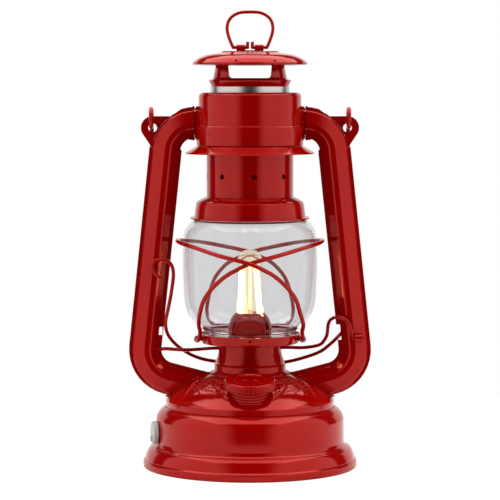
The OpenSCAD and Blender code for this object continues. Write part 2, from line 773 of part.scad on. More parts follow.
n_top = [0, 1];
n_side = [cos(arm_lean), sin(arm_lean)];
foot_turn = foot_slope - 90;
n_foot = [cos(foot_turn), sin(foot_turn)];
corner_low = [arm_corner_x, tank_top + 0.8];
corner_high = [arm_corner_x - (arm_top_z - corner_low.y) * tan(arm_lean), arm_top_z];
function bend_centre(corner, na, nb, r) = corner - r * (na + nb) / (1 + na * nb);
bend_high = bend_centre(corner_high, n_top, n_side, arm_bend_top);
bend_low = bend_centre(corner_low, n_side, n_foot, arm_bend_low);

stub_x = collar_band_r + 1.1;
stub_bead = 1.3;
seam_t = 1.6;
foot_weld = 1.3;

// Front half of the tube's section from its outer seam to its inner one, as shares of its half sizes:
// a broad facet on the outer half, a crease along the middle, and a flat and a steep facet inside
tube_shape = [
    [1, 0.135], [0.99, 0.34], [0.955, 0.47], [0.9, 0.56], [0.5, 0.795], [0.03, 1], [-0.34, 0.985],
    [-0.46, 0.93], [-0.54, 0.83], [-0.88, 0.36], [-0.98, 0.19], [-1, 0.135]
];

// Outline of the tube's section with its two seams, or of its bore when inside is true
function tube_ring(grow, seam, inside) =
    let (
        hw = inside ? arm_hw - sheet_t : arm_hw + grow,
        hd = inside ? arm_hd - sheet_t : arm_hd + grow,
        edge = inside ? 0.3 : seam_t / 2,
        tip = inside ? hw : hw + seam,
        half = [for (p = tube_shape) [p.x * hw, p.y * hd]],
        top = concat([[tip, edge]], half, [[-tip, edge]])
    )
    concat(top, [for (i = [len(top) - 1 : -1 : 0]) [top[i].x, -top[i].y]]);

function placed(ring, at, turn) =
    [for (p = ring) [at.x + p.x * cos(turn), p.y, at.y + p.x * sin(turn)]];

foot_dir = [-cos(foot_slope), 0, -sin(foot_slope)];
dome_table = [for (p = [for (i = [len(dome_profile()) - 1 : -1 : 2]) dome_profile()[i]]) [p.x, p.y]];
function dome_height(r) = lookup(r, dome_table);

// Point where a line along the tube's foot comes within gap of the dome
function landed(p, gap, near = 0, far = 60, tries = 24) =
    let (mid = (near + far) / 2, q = p + mid * foot_dir)
    tries == 0 ? q
    : q.z > dome_height(norm([q.x, q.y])) + gap ? landed(p, gap, mid, far, tries - 1)
    : landed(p, gap, near, mid, tries - 1);

function arm_rings(inside) =
    let (
        foot_start = bend_low + arm_bend_low * n_foot,
        plain = tube_ring(0, arm_seam, inside),
        bead = tube_ring(0.5, arm_seam, inside),
        weld = tube_ring(foot_weld, arm_seam, inside),
        bend = tube_ring(0, arm_seam / 2, inside)
    )
    concat(
        [placed(bead, [stub_x, arm_top_z], 90), placed(bead, [stub_x + stub_bead, arm_top_z], 90),
            placed(plain, [stub_x + stub_bead + 0.02, arm_top_z], 90)],
        [for (i = [1 : 9]) let (turn = 90 + (arm_lean - 90) * i / 10)
            placed(i > 2 ? bend : plain, bend_high + arm_bend_top * [cos(turn), sin(turn)], turn)],
        [for (i = [0 : 1]) let (turn = arm_lean)
            placed(plain, bend_high + arm_bend_top * n_side + i * 0.5 * [0, -1], turn)],
        [for (i = [0 : 9]) let (turn = arm_lean + (foot_turn - arm_lean) * i / 9)
            placed(plain, bend_low + arm_bend_low * [cos(turn), sin(turn)], turn)],
        [[for (p = placed(plain, foot_start, foot_turn)) landed(p, fit_gap + 0.9)]],
        [[for (p = placed(weld, foot_start, foot_turn)) landed(p, fit_gap + 0.88)]],
        [[for (p = placed(weld, foot_start, foot_turn)) landed(p, 2 * fit_gap)]]
    );

module arm_tube() {
    outer = arm_rings(false);
    inner = arm_rings(true);
    n = len(outer[0]);
    last = len(outer) - 1;
    shift = n * (last + 1);
    polyhedron(
        points = [for (r = concat(outer, inner)) for (p = r) p],
        faces = concat(
            [for (i = [0 : last - 1]) for (k = [0 : n - 1])
                let (a = i * n + k, b = i * n + (k + 1) % n) [a, b, b + n, a + n]],
            [for (i = [0 : last - 1]) for (k = [0 : n - 1])
                let (a = shift + i * n + k, b = shift + i * n + (k + 1) % n) [a, a + n, b + n, b]],
            [for (k = [0 : n - 1]) let (b = (k + 1) % n) [k, shift + k, shift + b, b]],
            [for (k = [0 : n - 1]) let (a = last * n + k, b = last * n + (k + 1) % n)
                [a, b, shift + b, shift + a]]));
}

ear_turn = 30.5;
ear_centre = bend_high + (arm_bend_top + arm_hw + arm_seam / 2 + 2.9) * [cos(ear_turn), sin(ear_turn)];
ear_rim_t = 2.4;

ear_reach = arm_bend_top + arm_hw + arm_seam / 2 - 0.5;
ear_from = ear_turn - 24;
ear_to = ear_turn + 27;

module ear() {
    difference() {
        union() {
            translate([0, seam_t / 2, 0]) rotate([90, 0, 0]) linear_extrude(height = seam_t)
                polygon(concat(
                    arc(bend_high, ear_reach, ear_from, ear_to, 10),
                    arc(ear_centre, ear_r, 96, -35, 18)));
            translate([ear_centre.x, ear_rim_t / 2, ear_centre.y]) rotate([90, 0, 0])
                cylinder(r = ear_hole_r + 1.2, h = ear_rim_t);
        }
        translate([ear_centre.x, 5, ear_centre.y]) rotate([90, 0, 0]) cylinder(r = ear_hole_r, h = 10);
        translate([bend_high.x, 5, bend_high.y]) rotate([90, 0, 0]) cylinder(r = ear_reach, h = 10);
    }
}

// Strip of the tube's outer seam that the ear takes the place of
module ear_seat() {
    difference() {
        rotate([90, 0, 0]) linear_extrude(height = 4, center = true) polygon(concat([bend_high],
            arc(bend_high, 2 * ear_reach, ear_from - 0.1, ear_to + 0.1, 10)));
        translate([bend_high.x, 5, bend_high.y]) rotate([90, 0, 0]) cylinder(r = ear_reach - 0.03, h = 10);
    }
}

module left_ear() {
    color(red) mirror([1, 0, 0]) ear();
}

module right_ear() {
    color(red) ear();
}

pivot_x = arm_corner_x - 5.1;
pivot_z = plate_top + 1.4;
pin_r = 1.2;
pin_share = 0.86; // the pin ends where the tube narrows beside its crease
crank_left = [-arm_corner_x + 9.6, 0, neck_top - 3.8];
crank_right = [arm_corner_x + 0.4, -arm_hd - 2.6, plate_z + 3.6];
crank_dir = unit(crank_right - crank_left);

module left_arm() {
    color(red) difference() {
        mirror([1, 0, 0]) arm_tube();
        mirror([1, 0, 0]) ear_seat();
        bar(crank_left - 3 * crank_dir, crank_left + 6 * crank_dir, lever_wire_r + run_gap);
        translate([-pivot_x + 3, -2, pivot_z - 2.5]) cube([4, 4, 5]);
    }
}

module right_arm() {
    color(red) difference() {
        arm_tube();
        ear_seat();
        translate([pivot_x - 12, -1.7, pivot_z - 5.5]) cube([9, 3.4, 9.5]);
    }
}

module lever_pin() {
    half = pin_share * (arm_hd - sheet_t);
    color(steel) bar([pivot_x, -half, pivot_z], [pivot_x, half, pivot_z], pin_r);
}

module crank_bracket() {
    front = arm_hd + 0.15;
    color(red) difference() {
        union() {
            translate([crank_right.x - 2, -front - 1.4, crank_right.z - 2.8]) cube([4, 1.4, 5.6]);
            bar(crank_right - 2 * crank_dir, crank_right + 2 * crank_dir, 2.4);
        }
        bar(crank_right - 12 * crank_dir, crank_right + 12 * crank_dir, lever_wire_r + run_gap);
    }
}

// ---- handles and levers ----

bail_x = ear_centre.x + 0.8;
bail_z = ear_centre.y + bail_eye_r + 0.5;
bail_rest_y = step_r + bail_wire_r + free_gap + 0.2;
bail_leg_turn = 28;
bail_leg_y = bail_eye_r * cos(bail_leg_turn);
bail_tilt = asin(bail_rest_y / norm([bail_l, bail_leg_y])) - atan(bail_leg_y / bail_l);

module bail() {
    leg_y = bail_leg_y;
    leg_z = -bail_eye_r * sin(bail_leg_turn);
    straight_r = bail_wire_r - 0.05;
    corner_x = bail_x - bail_corner_r;
    corner_z = bail_corner_r - bail_l;
    bite = 0.5;
    color(steel) translate([0, 0, bail_z]) rotate([bail_tilt, 0, 0]) {
        for (s = [-1, 1]) {
            translate([s * bail_x, 0, 0]) rotate([0, 90, 0]) rotate_extrude()
                translate([bail_eye_r, 0]) circle(r = bail_wire_r, $fn = 32);
            bar([s * bail_x, leg_y, leg_z], [s * bail_x, leg_y, corner_z - bite], straight_r);
        }
        translate([corner_x, leg_y, corner_z]) loop(bail_corner_r, bail_wire_r, -90, 0);
        translate([-corner_x, leg_y, corner_z]) loop(bail_corner_r, bail_wire_r, 180, 270);
        bar([-corner_x - bite, leg_y, -bail_l], [corner_x + bite, leg_y, -bail_l], straight_r);
    }
}

// Lift lever: from its hooked handle on the left, behind the neck, to its eye inside the right tube
function lever_points() = let (z = plate_top) [
    [-53.6, -8.9, z + 35.7], [-55.6, -9, z + 35.2], [-58.4, -9, z + 38.7], [-59.3, -9, z + 42.2],
    [-57.4, -9, z + 44.9], [-54.3, -9, z + 45.8], [-50.6, -9, z + 45.1], [-47.6, -9, z + 42.4],
    [-46.5, -9, z + 38], [-46.7, -9, z + 33], [-48.1, -8.9, z + 23.6], [-50, -8.4, z + 14.3],
    [-51.4, -6.4, z + 6.7], [-50.2, -1.4, z - 0.6], [-45.8, 5.6, z - 7.4], [-38.8, 13.6, z - 13.6],
    [-31.2, 20.6, z - 17.9], [-21.8, 25.4, z - 20.4], [-10, 27.4, z - 21.4], [0, 27.6, z - 21.7],
    [11, 27.2, z - 21.5], [22.7, 24.6, z - 20.7], [35.3, 17.6, z - 16.6], [43.9, 10, z - 12.2],
    [50, 4.4, z - 6.6], [53.6, 0.9, z - 2.6], [pivot_x - pin_r - 2.4, 0, pivot_z - 0.2]
];

module lift_lever() {
    eye_r = pin_r + run_gap + lever_wire_r;
    color(red) {
        bent_wire(smooth_path(lever_points(), 3), lever_wire_r, sides = 8);
        translate([pivot_x, 0, pivot_z]) rotate([90, 0, 0]) rotate_extrude()
            translate([eye_r, 0]) circle(r = lever_wire_r, $fn = 32);
    }
}

// Crank: hinged in the left tube and in the bracket on the right, with its middle behind the neck
function crank_points() = let (z = plate_top) [
    crank_left + 5 * crank_dir, [-45, 0.6, z - 10.2], [-39, 4, z - 10.8], [-32, 12, z - 11.4],
    [-24.9, 20.6, z - 11.8], [-14, 24.6, z - 11.9], [0, 25.4, z - 11.9], [14, 25, z - 11.8],
    [24.7, 22.6, z - 11.4], [31.7, 19, z - 11.2], [38.7, 13.4, z - 9.8], [43.5, 8.4, z - 7.8],
    [46.2, 5, z - 4], [47.4, 3, z - 0.3], [47.7, 1.2, z + 4.2], [48.6, -1, z + 7.5], [51, -4.4, z + 9.8],
    [54.2, -7.6, z + 10.5], [57.4, -9.2, z + 9.5], [59.9, -9.4, z + 6.9], [61.2, -9.4, z + 3.5],
    [61.8, -9.3, z + 0.4], crank_right - 3.3 * crank_dir
];

module lift_crank() {
    stub = 2.5;
    lap_in = 5.1;
    half = 3.4;
    color(red) {
        bent_wire(smooth_path(crank_points(), 3), lever_wire_r, sides = 8);
        bar(crank_left - stub * crank_dir, crank_left + lap_in * crank_dir, lever_wire_r);
        bar(crank_right - half * crank_dir, crank_right + half * crank_dir, lever_wire_r);
    }
}

base_shell();
bottom_plate();
bottom_screws();
tank_dome();
battery_tray();
battery_cells();
driver_board();
charge_board();
charge_port();
port_cover();
filler_neck();
dimmer_switch();
dimmer_shaft();
filler_cap();
burner_neck();
burner_cone();
bulb_holder();
bulb_envelope();
bulb_stem();
bulb_filaments();
filament_wires();
bulb_lead();
globe_plate();
globe();
globe_guard();
chimney_bell();
chimney_tube();
flue_tube();
hood_gallery();
hood_cap();
ring_clip();
hood_ring();
collar();
deflector_skirt();
hood_spring();
left_arm();
right_arm();
left_ear();
right_ear();
bail();
lift_lever();
lever_pin();
lift_crank();
crank_bracket();
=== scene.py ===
"""Dresses a hurricane lantern with an LED bulb: enamel, glass, steel, relief and studio."""

import logging
import math
from dataclasses import dataclass
from enum import Enum
from typing import Iterable, Sequence

import bmesh
import bpy
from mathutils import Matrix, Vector
from mathutils.bvhtree import BVHTree


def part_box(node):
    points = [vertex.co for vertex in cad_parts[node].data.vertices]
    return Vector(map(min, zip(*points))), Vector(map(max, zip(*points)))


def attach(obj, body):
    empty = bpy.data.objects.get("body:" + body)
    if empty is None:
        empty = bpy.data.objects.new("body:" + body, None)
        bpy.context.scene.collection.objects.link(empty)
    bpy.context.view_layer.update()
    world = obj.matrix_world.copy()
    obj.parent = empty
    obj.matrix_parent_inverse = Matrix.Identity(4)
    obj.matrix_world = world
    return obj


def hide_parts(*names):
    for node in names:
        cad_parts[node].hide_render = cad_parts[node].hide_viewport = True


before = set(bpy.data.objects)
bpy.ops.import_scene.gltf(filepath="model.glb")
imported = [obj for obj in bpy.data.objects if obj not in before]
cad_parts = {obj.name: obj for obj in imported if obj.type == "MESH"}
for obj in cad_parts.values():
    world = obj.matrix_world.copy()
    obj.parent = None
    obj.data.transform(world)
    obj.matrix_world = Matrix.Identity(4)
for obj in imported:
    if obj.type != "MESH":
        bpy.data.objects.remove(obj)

LOG = logging.getLogger("lantern")
MM = 0.001
WHITE = (1.0, 1.0, 1.0, 1.0)
WELD_GAP = 0.002 * MM

# A Mix node's sockets for colours: the factor and both colours, and the result.
MIX_COLOUR_INPUTS = (0, 6, 7)
MIX_COLOUR_OUTPUT = 2

# A noise texture's values seldom leave this band.
NOISE_LOW, NOISE_HIGH = 0.3, 0.7

Colour = tuple[float, float, float]
Shade = tuple[float, float, float, float]
Face = tuple[int, ...]


class Body(Enum):
    """The bodies that the new pieces ride on."""

    FRAME = "frame"
    DIMMER = "dimmer"
    HOOD = "hood"


class Slot(Enum):
    """Material slot names in the record; no piece in this script takes its finish from them."""

    ENAMEL = "red_enamel"
    FILAMENT = "led_filament"


class Effect(Enum):
    """The shared shader effects."""

    PEEL = "orange_peel"
    BRUSHED = "brushed"
    GRAIN = "moulded_grain"


# ---- shader helpers ----


def add(tree: bpy.types.NodeTree, kind: str, **values: object) -> bpy.types.Node:
    """Adds a node to a tree and sets its properties and inputs.

    Args:
        tree: The node tree.
        kind: Blender's node type name.
        values: Properties by name, or inputs by name with spaces as underscores.

    Returns:
        The new node.
    """
    made = tree.nodes.new(kind)
    for key, value in values.items():
        if hasattr(made, key) and key not in made.inputs:
            setattr(made, key, value)
        else:
            made.inputs[key.replace("_", " ")].default_value = value
    return made


def math_node(
    tree: bpy.types.NodeTree, operation: str, *terms: object, clamp: bool = False
) -> bpy.types.NodeSocket:
    """Adds a Math node fed by numbers and sockets.

    Args:
        tree: The node tree.
        operation: The Math node's operation.
        terms: Numbers or sockets, in the node's order.
        clamp: Whether the result stays between 0 and 1.

    Returns:
        The node's output socket.
    """
    made = tree.nodes.new("ShaderNodeMath")
    made.operation = operation
    made.use_clamp = clamp
    for i, term in enumerate(terms):
        if isinstance(term, bpy.types.NodeSocket):
            tree.links.new(term, made.inputs[i])
        else:
            made.inputs[i].default_value = float(term)
    return made.outputs[0]


def ramp(
    tree: bpy.types.NodeTree, factor: bpy.types.NodeSocket, stops: Sequence[tuple[float, Colour]]
) -> bpy.types.NodeSocket:
    """Adds a colour ramp.

    Args:
        tree: The node tree.
        factor: The socket that drives the ramp.
        stops: Position and colour of each stop.

    Returns:
        The ramp's colour socket.
    """
    made = tree.nodes.new("ShaderNodeValToRGB")
    elements = made.color_ramp.elements
    while len(elements) < len(stops):
        elements.new(0.5)
    for element, (place, colour) in zip(elements, stops):
        element.position = place
        element.color = (*colour, 1.0)
    tree.links.new(factor, made.inputs[0])
    return made.outputs[0]


def seen_directly(tree: bpy.types.NodeTree, path: bpy.types.Node) -> bpy.types.NodeSocket:
    """Tells whether a ray comes straight from the camera or through glass.

    Args:
        tree: The node tree.
        path: The tree's Light Path node.

    Returns:
        A socket that is 1 for such rays and 0 for all others.
    """
    camera, through = (path.outputs[f"Is {kind} Ray"] for kind in ("Camera", "Transmission"))
    return math_node(tree, "MAXIMUM", camera, through)


def mix_shaders(
    tree: bpy.types.NodeTree,
    share: bpy.types.NodeSocket,
    first: bpy.types.Node,
    second: bpy.types.Node,
) -> bpy.types.NodeSocket:
    """Mixes two shaders.

    Args:
        tree: The node tree.
        share: The second shader's share.
        first: The shader at a share of 0.
        second: The shader at a share of 1.

    Returns:
        The mixed shader's socket.
    """
    mixed = tree.nodes.new("ShaderNodeMixShader")
    for socket, source in zip(mixed.inputs, (share, first.outputs[0], second.outputs[0])):
        tree.links.new(source, socket)
    return mixed.outputs[0]


def new_group(
    effect: Effect, inputs: Sequence[tuple[str, str, object]], outputs: Sequence[str]
) -> tuple[bpy.types.NodeTree, bpy.types.Node, bpy.types.Node]:
    """Makes an empty shader node group with named sockets.

    Args:
        effect: The effect that the group is named after.
        inputs: Name, socket type and default of each input.
        outputs: Name of each output value.

    Returns:
        The group's tree, its input node and its output node.
    """
    tree = bpy.data.node_groups.new(effect.value, "ShaderNodeTree")
    for label, kind, default in inputs:
        socket = tree.interface.new_socket(label, in_out="INPUT", socket_type=kind)
        if default is not None:
            socket.default_value = default
    for label in outputs:
        tree.interface.new_socket(label, in_out="OUTPUT", socket_type="NodeSocketFloat")
    return tree, tree.nodes.new("NodeGroupInput"), tree.nodes.new("NodeGroupOutput")


def orange_peel_group() -> bpy.types.NodeTree:
    """Builds the gentle waviness and tone drift of a sprayed or fired coat.

    Returns:
        A group that turns a position into a height, a tone and a gloss value.
    """
    tree, given, made = new_group(
        Effect.PEEL,
        [
            ("Vector", "NodeSocketVector", None),
            ("Peel Scale", "NodeSocketFloat", 420.0),
            ("Tone Scale", "NodeSocketFloat", 18.0),
        ],
        ["Height", "Tone", "Gloss"],
    )
    peel = add(tree, "ShaderNodeTexNoise", Detail=1.0, Roughness=0.4)
    drift = add(tree, "ShaderNodeTexNoise", Detail=2.0, Roughness=0.5)
    specks = add(tree, "ShaderNodeTexNoise", Scale=1600.0, Detail=2.0)
    for noise in (peel, drift, specks):
        tree.links.new(given.outputs["Vector"], noise.inputs["Vector"])
    tree.links.new(given.outputs["Peel Scale"], peel.inputs["Scale"])
    tree.links.new(given.outputs["Tone Scale"], drift.inputs["Scale"])
    tree.links.new(peel.outputs[0], made.inputs["Height"])
    tree.links.new(drift.outputs[0], made.inputs["Tone"])
    gloss = math_node(tree, "MULTIPLY_ADD", specks.outputs[0], 0.5, 0.25)
    tree.links.new(math_node(tree, "MULTIPLY", gloss, drift.outputs[0]), made.inputs["Gloss"])
    return tree


def brushed_group() -> bpy.types.NodeTree:
    """Builds fine lines that run round the axis, as on rolled or turned metal.

    Returns:
        A group that turns a position into a height and a tone.
    """
    tree, given, made = new_group(
        Effect.BRUSHED,
        [("Vector", "NodeSocketVector", None), ("Line Scale", "NodeSocketFloat", 2600.0)],
        ["Height", "Tone"],
    )
    squash = add(tree, "ShaderNodeMapping", Scale=(0.02, 0.02, 1.0))
    lines = add(tree, "ShaderNodeTexNoise", Detail=3.0)
    stains = add(tree, "ShaderNodeTexNoise", Scale=90.0, Detail=3.0)
    tree.links.new(given.outputs["Vector"], squash.inputs["Vector"])
    tree.links.new(squash.outputs[0], lines.inputs["Vector"])
    tree.links.new(given.outputs["Line Scale"], lines.inputs["Scale"])
    tree.links.new(given.outputs["Vector"], stains.inputs["Vector"])
    tree.links.new(lines.outputs[0], made.inputs["Height"])
    tone = math_node(tree, "MULTIPLY", lines.outputs[0], stains.outputs[0])
    tree.links.new(tone, made.inputs["Tone"])
    return tree


def grain_group() -> bpy.types.NodeTree:
    """Builds the fine pebbled grain of moulded rubber and plastic.

    Returns:
        A group that turns a position into a height and a tone.
    """
    tree, given, made = new_group(
        Effect.GRAIN,
        [("Vector", "NodeSocketVector", None), ("Grain Scale", "NodeSocketFloat", 1800.0)],
        ["Height", "Tone"],
    )
    pits = add(tree, "ShaderNodeTexVoronoi")
    drift = add(tree, "ShaderNodeTexNoise", Scale=60.0, Detail=3.0)
    tree.links.new(given.outputs["Vector"], pits.inputs["Vector"])
    tree.links.new(given.outputs["Grain Scale"], pits.inputs["Scale"])
    tree.links.new(given.outputs["Vector"], drift.inputs["Vector"])
    tree.links.new(pits.outputs["Distance"], made.inputs["Height"])
    tree.links.new(drift.outputs[0], made.inputs["Tone"])
    return tree


GROUPS: dict[Effect, bpy.types.NodeTree] = {
    Effect.PEEL: orange_peel_group(),
    Effect.BRUSHED: brushed_group(),
    Effect.GRAIN: grain_group(),
}


@dataclass(frozen=True)
class Canvas:
    """An empty material with its shader, position socket and tree."""

    material: bpy.types.Material
    tree: bpy.types.NodeTree
    shader: bpy.types.Node
    place: bpy.types.NodeSocket

    @staticmethod
    def start(name: str, **sockets: object) -> "Canvas":
        """Makes a material whose Principled BSDF has these values on its own sockets.

        Args:
            name: The material's name.
            sockets: Values by socket name, with spaces as underscores.

        Returns:
            The canvas to draw the finish on.
        """
        material = bpy.data.materials.new(name)
        material.use_nodes = True
        tree = material.node_tree
        tree.nodes.clear()
        shader = add(tree, "ShaderNodeBsdfPrincipled", **sockets)
        out = tree.nodes.new("ShaderNodeOutputMaterial")
        tree.links.new(shader.outputs[0], out.inputs["Surface"])
        place = tree.nodes.new("ShaderNodeTexCoord").outputs["Object"]
        return Canvas(material, tree, shader, place)

    def group(self, effect: Effect, **values: float) -> bpy.types.Node:
        """Places a shared group and feeds it the position.

        Args:
            effect: The group's effect.
            values: Inputs by name, with spaces as underscores.

        Returns:
            The group node.
        """
        made = self.tree.nodes.new("ShaderNodeGroup")
        made.node_tree = GROUPS[effect]
        for key, value in values.items():
            made.inputs[key.replace("_", " ")].default_value = value
        self.tree.links.new(self.place, made.inputs["Vector"])
        return made

    def colour(self, factor: bpy.types.NodeSocket, low: Colour, high: Colour) -> None:
        """Feeds Base Color from a drift between two colours.

        Args:
            factor: The noise that drives the drift.
            low: The colour where it is low.
            high: The colour where it is high.
        """
        made = ramp(self.tree, factor, [(NOISE_LOW, low), (NOISE_HIGH, high)])
        self.tree.links.new(made, self.shader.inputs["Base Color"])

    def roughness(self, factor: bpy.types.NodeSocket, low: float, high: float) -> None:
        """Feeds Roughness with a value between low and high.

        Args:
            factor: The value that drives it, from 0 to 1.
            low: The roughness at 0.
            high: The roughness at 1.
        """
        made = self.tree.nodes.new("ShaderNodeMapRange")
        made.inputs["To Min"].default_value = low
        made.inputs["To Max"].default_value = high
        self.tree.links.new(factor, made.inputs["Value"])
        self.tree.links.new(made.outputs[0], self.shader.inputs["Roughness"])

    def bump(self, height: bpy.types.NodeSocket, depth: float, strength: float = 1.0) -> None:
        """Feeds Normal from a height.

        Args:
            height: The height, from 0 to 1.
            depth: What a height of 1 stands for, in metres.
            strength: How fully the bump counts.
        """
        made = add(self.tree, "ShaderNodeBump", Strength=strength, Distance=depth)
        self.tree.links.new(height, made.inputs["Height"])
        self.tree.links.new(made.outputs[0], self.shader.inputs["Normal"])


@dataclass(frozen=True)
class Enamel:
    """Fired gloss enamel on pressed sheet."""

    name: str
    low: Colour = (0.37, 0.0005, 0.0003)
    high: Colour = (0.42, 0.0009, 0.0006)
    smooth: float = 0.08
    rough: float = 0.13
    peel_depth: float = 0.012 * MM
    specular: float = 0.32
    metallic: float = 0.25
    sheen: Shade = (1.0, 0.93, 0.80, 1.0)

    def material(self) -> bpy.types.Material:
        """Builds the enamel.

        Returns:
            The new material.
        """
        canvas = Canvas.start(
            self.name,
            Specular_IOR_Level=self.specular,
            Specular_Tint=self.sheen,
            Metallic=self.metallic,
        )
        peel = canvas.group(Effect.PEEL)
        canvas.colour(peel.outputs["Tone"], self.low, self.high)
        canvas.roughness(peel.outputs["Gloss"], self.smooth, self.rough)
        canvas.bump(peel.outputs["Height"], self.peel_depth)
        return canvas.material


@dataclass(frozen=True)
class Metal:
    """Bare metal with lines round the axis."""

    name: str
    low: Colour = (0.42, 0.42, 0.43)
    high: Colour = (0.62, 0.62, 0.62)
    smooth: float = 0.28
    rough: float = 0.45
    line_depth: float = 0.02 * MM

    def material(self) -> bpy.types.Material:
        """Builds the metal.

        Returns:
            The new material.
        """
        canvas = Canvas.start(self.name, Metallic=1.0)
        lines = canvas.group(Effect.BRUSHED)
        canvas.colour(lines.outputs["Tone"], self.low, self.high)
        canvas.roughness(lines.outputs["Tone"], self.smooth, self.rough)
        canvas.bump(lines.outputs["Height"], self.line_depth)
        return canvas.material


@dataclass(frozen=True)
class Moulded:
    """Moulded rubber, plastic, ceramic or board with a fine grain."""

    name: str
    low: Colour
    high: Colour
    smooth: float = 0.45
    rough: float = 0.62
    grain_scale: float = 1800.0
    grain_depth: float = 0.03 * MM

    def material(self) -> bpy.types.Material:
        """Builds the moulded finish.

        Returns:
            The new material.
        """
        canvas = Canvas.start(self.name)
        grain = canvas.group(Effect.GRAIN, Grain_Scale=self.grain_scale)
        canvas.colour(grain.outputs["Tone"], self.low, self.high)
        canvas.roughness(grain.outputs["Tone"], self.smooth, self.rough)
        canvas.bump(grain.outputs["Height"], self.grain_depth)
        return canvas.material


@dataclass(frozen=True)
class Glass:
    """Clear glass with faint waves from blowing, and any painted glow that stands in for the
    filaments' light shining in it.
    """

    name: str
    tint: Colour = (0.905, 0.90, 0.91)
    tint_drift: float = 0.985
    wave_scale: float = 38.0
    wave_depth: float = 0.4 * MM
    wave_strength: float = 0.12
    ior: float = 1.32
    # Emission painted on the glass for the filaments' light inside it: painted light, since the
    # glass is no lamp of its own.
    lit: float = 0.0
    painted_glow_colour: Shade = (1.0, 0.80, 0.48, 1.0)

    def material(self) -> bpy.types.Material:
        """Builds the glass, with a plain Metallic and Transmission Weight.

        Returns:
            The new material.
        """
        canvas = Canvas.start(
            self.name,
            Transmission_Weight=1.0,
            Metallic=0.0,
            IOR=self.ior,
            Roughness=0.0,
            Emission_Color=self.painted_glow_colour,
            Emission_Strength=self.lit,
        )
        waves = canvas.group(Effect.PEEL, Peel_Scale=self.wave_scale)
        darker = tuple(self.tint_drift * part for part in self.tint)
        canvas.colour(waves.outputs["Tone"], darker, self.tint)
        canvas.bump(waves.outputs["Height"], self.wave_depth, self.wave_strength)
        return canvas.material


@dataclass(frozen=True)
class Glow:
    """Phosphor on two lit filaments, amber at their ends and nearly white between.

    The left one is full on its left and fades towards the axis, where a paler glow stands.
    """

    name: str
    foot: float
    top: float
    phosphor: Shade = (1.0, 0.72, 0.25, 1.0)
    amber: Colour = (1.0, 0.36, 0.03)
    warm: Colour = (1.0, 0.62, 0.22)
    pale: Colour = (1.0, 0.78, 0.42)
    foot_ends: tuple[float, float] = (0.06, 0.2)
    top_ends: tuple[float, float] = (0.9, 0.96)
    power: float = 7.0
    fade: tuple[float, float] = (-5.3 * MM, -3.0 * MM)
    faded: Shade = (0.115, 0.125, 0.15, 1.0)
    peel_scale: float = 900.0
    peel_depth: float = 0.05 * MM
    smooth: float = 0.4
    rough: float = 0.6

    def stops(self) -> list[tuple[float, Colour]]:
        """Lists the glow's colours from the foot, at 0, to the top, at 1.

        Returns:
            Position and colour of each stop.
        """
        (warm_from, pale_from), (pale_to, warm_to) = self.foot_ends, self.top_ends
        return [
            (0.0, self.amber),
            (warm_from, self.warm),
            (pale_from, self.pale),
            (pale_to, self.pale),
            (warm_to, self.warm),
            (1.0, self.amber),
        ]

    def material(self) -> bpy.types.Material:
        """Builds the glowing phosphor.

        Returns:
            The new material.
        """
        canvas = Canvas.start(self.name, Base_Color=self.phosphor, Emission_Strength=self.power)
        tree = canvas.tree
        split = tree.nodes.new("ShaderNodeSeparateXYZ")
        tree.links.new(canvas.place, split.inputs[0])
        across, _, up = split.outputs
        height = math_node(tree, "SUBTRACT", up, self.foot)
        share = math_node(tree, "DIVIDE", height, self.top - self.foot, clamp=True)
        glow = ramp(tree, share, self.stops())
        bright, dark = self.fade
        from_left = math_node(tree, "SUBTRACT", across, bright)
        dim = math_node(tree, "DIVIDE", from_left, dark - bright, clamp=True)
        dim = math_node(tree, "MULTIPLY", dim, math_node(tree, "LESS_THAN", across, 0.0))
        mixed = add(tree, "ShaderNodeMix", data_type="RGBA", blend_type="MULTIPLY")
        factor, full, faded = (mixed.inputs[i] for i in MIX_COLOUR_INPUTS)
        tree.links.new(dim, factor)
        tree.links.new(glow, full)
        faded.default_value = self.faded
        tree.links.new(mixed.outputs[MIX_COLOUR_OUTPUT], canvas.shader.inputs["Emission Color"])
        peel = canvas.group(Effect.PEEL, Peel_Scale=self.peel_scale)
        canvas.bump(peel.outputs["Height"], self.peel_depth)
        canvas.roughness(peel.outputs["Gloss"], self.smooth, self.rough)
        return canvas.material


# ---- mesh helpers ----


def finish_object(
    name: str, mesh: bpy.types.Mesh, body: Body, material: bpy.types.Material
) -> bpy.types.Object:
    """Puts a mesh in the scene as a piece of the lantern.

    Args:
        name: The piece's name.
        mesh: Its mesh, in the lantern's own frame.
        body: The body it rides on.
        material: Its finish.

    Returns:
        The new object.
    """
    made = bpy.data.objects.new(name, mesh)
    bpy.context.scene.collection.objects.link(made)
    mesh.materials.append(material)
    mesh.polygons.foreach_set("use_smooth", [True] * len(mesh.polygons))
    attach(made, body.value)
    LOG.info("piece %s rides on %s", name, body.value)
    return made


def mesh_from(name: str, verts: Sequence[Vector], faces: Iterable[Sequence[int]]) -> bpy.types.Mesh:
    """Makes a mesh and turns its faces outward.

    Args:
        name: The mesh's name.
        verts: Its points.
        faces: Its faces, by point number.

    Returns:
        The mesh.
    """
    mesh = bpy.data.meshes.new(name)
    mesh.from_pydata([tuple(v) for v in verts], [], [tuple(f) for f in faces])
    work = bmesh.new()
    work.from_mesh(mesh)
    bmesh.ops.recalc_face_normals(work, faces=work.faces)
    work.to_mesh(mesh)
    work.free()
    return mesh


def grid_faces(first: int, rows: int, columns: int) -> list[Face]:
    """Joins a grid of points into four-sided faces.

    Args:
        first: The grid's first point.
        rows: How many faces lie along it.
        columns: How many lie across it.

    Returns:
        The faces, by point number.
    """
    width = columns + 1
    starts = (first + i * width + j for i in range(rows) for j in range(columns))
    return [(a, a + 1, a + width + 1, a + width) for a in starts]


